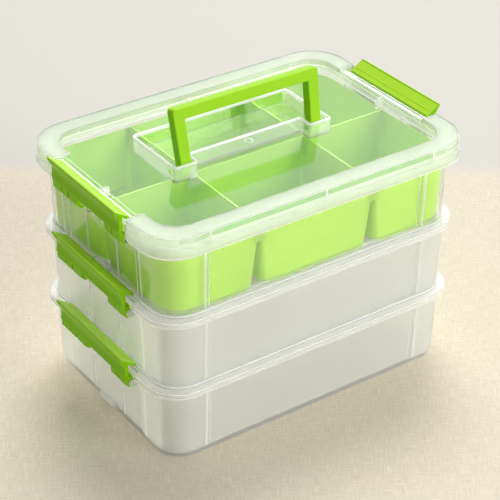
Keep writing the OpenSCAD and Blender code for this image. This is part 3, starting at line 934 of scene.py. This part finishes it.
def buildLatch(side, count, level):
    node = f"latch_{side}_{level}"
    bm = mergedCopy(node)
    trim = buildLatchTrim(level == "upper")
    rodX, rodZ = latchSet["rod"]
    bmesh.ops.translate(trim, vec=(rodX * mm, 0, (rodZ + count * tierSet["pitch"]) * mm), verts=trim.verts)
    if side == "left":
        bmesh.ops.scale(trim, vec=(-1, 1, 1), verts=trim.verts)
    bmesh.ops.recalc_face_normals(trim, faces=trim.faces)
    joinMesh(bm, trim)
    materials = ["latchLitGreen", "shadedSideGreen"]
    # flat faces take the painted-light green, steep faces the painted-shade green; bevels take the lit one
    paintFaces(bm, materials, lambda face: materials[int(abs(face.normal.z) < latchSet["steep"])])
    addPiece(f"{side}{level.capitalize()}Latch", bm, node, materials,
             bevel=latchSet["edge"], segments=latchSet["steps"], stands=(node,), edgeFinish=0)


for side in ("left", "right"):
    for count, level in enumerate(latchSet["levels"]):
        buildLatch(side, count, level)
print("latches made")


stageSet = {
    "cloth": lin(248, 239, 220),
    "clothDark": lin(226, 216, 194),
    "table": lin(225, 222, 214),
    "clothEnd": 0.27,       # how far behind the object the cloth stops
    "clothSoft": (-0.004, 0.02),
    "shadeFrom": 0.35,
    "shadeTo": 0.75,
    "threads": 300.0,
    "wave": {"Distortion": 2.5, "Detail": 1, "Detail Scale": 0.3},
    "slubs": ((90, 900, 90), (900, 90, 90)),   # long thick threads, both ways
    "bump": {"Strength": 0.3, "Distance": 0.0002},
    "finish": {"Roughness": 0.95, "Specular IOR Level": 0.1},
    "half": 3,
    "cells": 8,
    "worldLevel": 0.31,
    "seenLevel": 0.95,
}


def makeWeaveGroup():
    group, start, end = newGroup(
        "linenWeave", [("Vector", "NodeSocketVector", None), ("Threads", "NodeSocketFloat", 600.0)],
        [("Shade", "NodeSocketFloat"), ("Height", "NodeSocketFloat")])
    waves = []
    for direction in ("X", "Y"):
        wave = addNode(group, "ShaderNodeTexWave", bands_direction=direction)
        group.links.new(start.outputs["Vector"], wave.inputs["Vector"])
        group.links.new(start.outputs["Threads"], wave.inputs["Scale"])
        setInputs(wave, stageSet["wave"])
        waves.append(wave)
    slubs = []
    for stretch in stageSet["slubs"]:
        scaled = addNode(group, "ShaderNodeVectorMath", operation="MULTIPLY")
        scaled.inputs[1].default_value = stretch
        group.links.new(start.outputs["Vector"], scaled.inputs[0])
        noise = addNode(group, "ShaderNodeTexNoise")
        setInputs(noise, {"Scale": 1.0, "Detail": 2})
        group.links.new(scaled.outputs["Vector"], noise.inputs["Vector"])
        slubs.append(noise)
    for kind, pair, output in (("MULTIPLY", waves, "Height"), ("MAXIMUM", slubs, "Shade")):
        both = addNode(group, "ShaderNodeMath", operation=kind)
        group.links.new(pair[0].outputs["Fac"], both.inputs[0])
        group.links.new(pair[1].outputs["Fac"], both.inputs[1])
        group.links.new(both.outputs[0], end.inputs[output])
    return group


def makeLinen():
    # woven cloth in front, and the plain table behind it
    material, tree, shader = startMaterial("linenCloth")
    where = addNode(tree, "ShaderNodeTexCoord")
    turned = addNode(tree, "ShaderNodeMapping")
    turned.inputs["Rotation"].default_value = (0, 0, math.radians(-viewSet["azimuth"]))
    tree.links.new(where.outputs["Object"], turned.inputs["Vector"])
    weave = addNode(tree, "ShaderNodeGroup", node_tree=makeWeaveGroup())
    weave.inputs["Threads"].default_value = stageSet["threads"]
    tree.links.new(turned.outputs["Vector"], weave.inputs["Vector"])
    shade = addNode(tree, "ShaderNodeMapRange")
    setInputs(shade, {"From Min": stageSet["shadeFrom"], "From Max": stageSet["shadeTo"]})
    tree.links.new(weave.outputs["Shade"], shade.inputs["Value"])
    cloth = mixColors(tree, shade.outputs["Result"], stageSet["clothDark"], stageSet["cloth"])
    apart = addNode(tree, "ShaderNodeSeparateXYZ")
    tree.links.new(turned.outputs["Vector"], apart.inputs["Vector"])
    edge = addNode(tree, "ShaderNodeMapRange")
    before, after = stageSet["clothSoft"]
    setInputs(edge, {"From Min": stageSet["clothEnd"] + before, "From Max": stageSet["clothEnd"] + after})
    tree.links.new(apart.outputs["Y"], edge.inputs["Value"])
    color = mixColors(tree, edge.outputs["Result"], cloth, stageSet["table"])
    tree.links.new(color, shader.inputs["Base Color"])
    bump = addNode(tree, "ShaderNodeBump")
    setInputs(bump, stageSet["bump"])
    tree.links.new(weave.outputs["Height"], bump.inputs["Height"])
    tree.links.new(bump.outputs["Normal"], shader.inputs["Normal"])
    setInputs(shader, stageSet["finish"])
    return material


def buildFloor():
    bm = bmesh.new()
    cells = stageSet["cells"]
    bmesh.ops.create_grid(bm, x_segments=cells, y_segments=cells, size=stageSet["half"])
    mesh = bpy.data.meshes.new("floor")
    bm.to_mesh(mesh)
    bm.free()
    mesh.materials.append(makeLinen())
    floor = bpy.data.objects.new("floor", mesh)
    bpy.context.scene.collection.objects.link(floor)


lampSet = {
    "overhead": {"place": (0.7, 0.9, 2.3), "size": 1.2, "power": 41.0, "inGloss": False},
    "frontRight": {"place": (1.3, -2.5, 1.3), "size": 1.4, "power": 40.0, "inGloss": True},
}
lampTarget = (0, 0, 0.1)


def addLamps():
    for name, values in lampSet.items():
        lamp = bpy.data.lights.new(name, "AREA")
        lamp.shape = "DISK"
        lamp.size = values["size"]
        lamp.energy = values["power"]
        holder = bpy.data.objects.new(name, lamp)
        bpy.context.scene.collection.objects.link(holder)
        holder.location = values["place"]
        holder.visible_glossy = values["inGloss"]
        toLamp = Vector(values["place"]) - Vector(lampTarget)
        holder.rotation_euler = toLamp.to_track_quat("Z", "Y").to_euler()


def addWorld():
    # a dim world lights the object, and a bright one is seen behind it, in gloss and through glass
    world = bpy.data.worlds.new("studio")
    bpy.context.scene.world = world
    world.use_nodes = True
    tree = world.node_tree
    background = tree.nodes["Background"]
    background.inputs["Color"].default_value = (1, 1, 1, 1)
    path = addNode(tree, "ShaderNodeLightPath")
    seen = path.outputs["Is Camera Ray"]
    for kind in ("Is Glossy Ray", "Is Transmission Ray"):
        either = addNode(tree, "ShaderNodeMath", operation="MAXIMUM")
        tree.links.new(seen, either.inputs[0])
        tree.links.new(path.outputs[kind], either.inputs[1])
        seen = either.outputs[0]
    level = mixNumbers(tree, seen, stageSet["worldLevel"], stageSet["seenLevel"])
    tree.links.new(level, background.inputs["Strength"])


addCamera()
buildFloor()
addLamps()
addWorld()
scene = bpy.context.scene
scene.view_settings.view_transform = "Standard"
scene.cycles.max_bounces = 24
scene.cycles.transmission_bounces = 24
scene.cycles.transparent_max_bounces = 32
print("floor, lamps and camera made")
